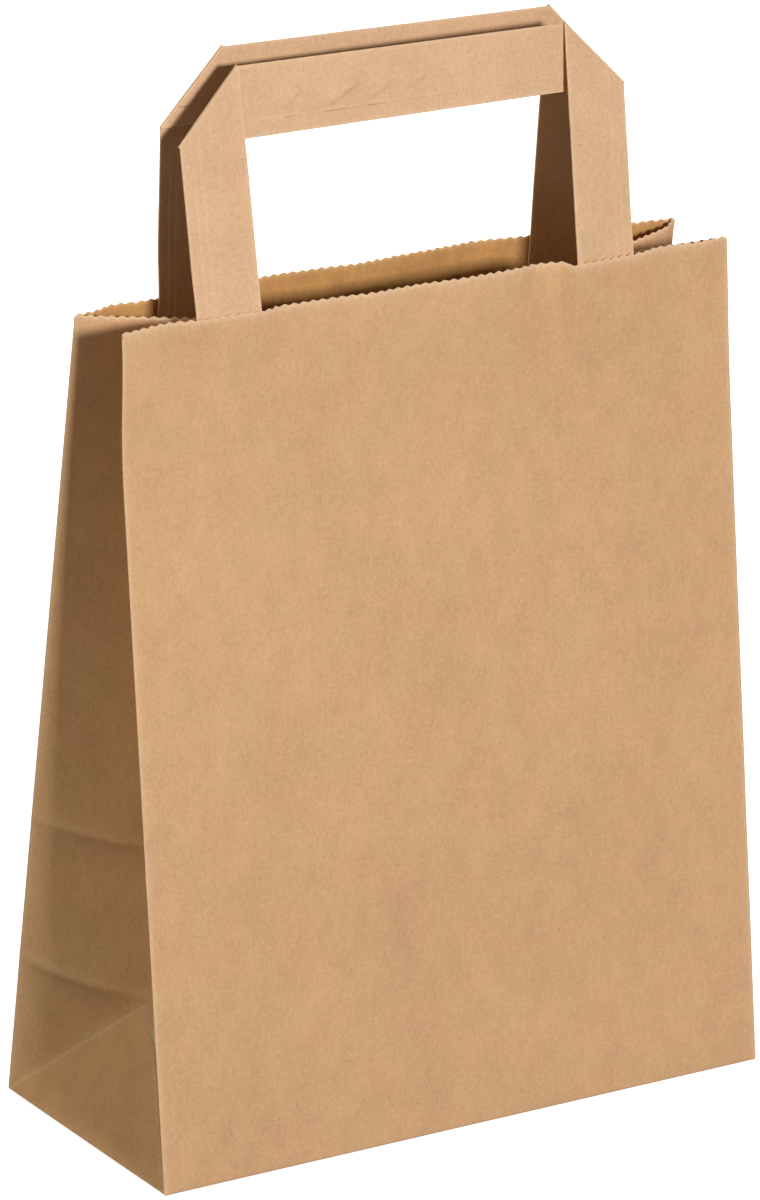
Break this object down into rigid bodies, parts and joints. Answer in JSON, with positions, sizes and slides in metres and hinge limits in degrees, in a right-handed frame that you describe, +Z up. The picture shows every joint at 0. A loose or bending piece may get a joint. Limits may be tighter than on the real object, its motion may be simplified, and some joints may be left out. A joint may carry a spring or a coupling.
{
  "type": "paper carrier bag",
  "caption": "Upright brown kraft paper carrier bag with tucked side gussets, a folded block bottom, a toothed mouth edge and flat folded paper tape handles.",
  "frame": {"origin": "centre of the block bottom, on the surface that the bag stands on", "axes": "+X along the width, +Y along the depth towards the rear panel, +Z up towards the mouth and handles"},
  "size_m": [0.1808, 0.0804, 0.2798],
  "materials": {
    "kraft_sheet": "matte unbleached kraft",
    "kraft_tape": "matte unbleached kraft, several plies",
    "kraft_patch": "matte unbleached kraft"
  },
  "bodies": {
    "root": {"bag_body": "kraft_sheet", "front_handle": "kraft_tape", "rear_handle": "kraft_tape", "front_patch": "kraft_patch", "rear_patch": "kraft_patch"}
  },
  "joints": []
}
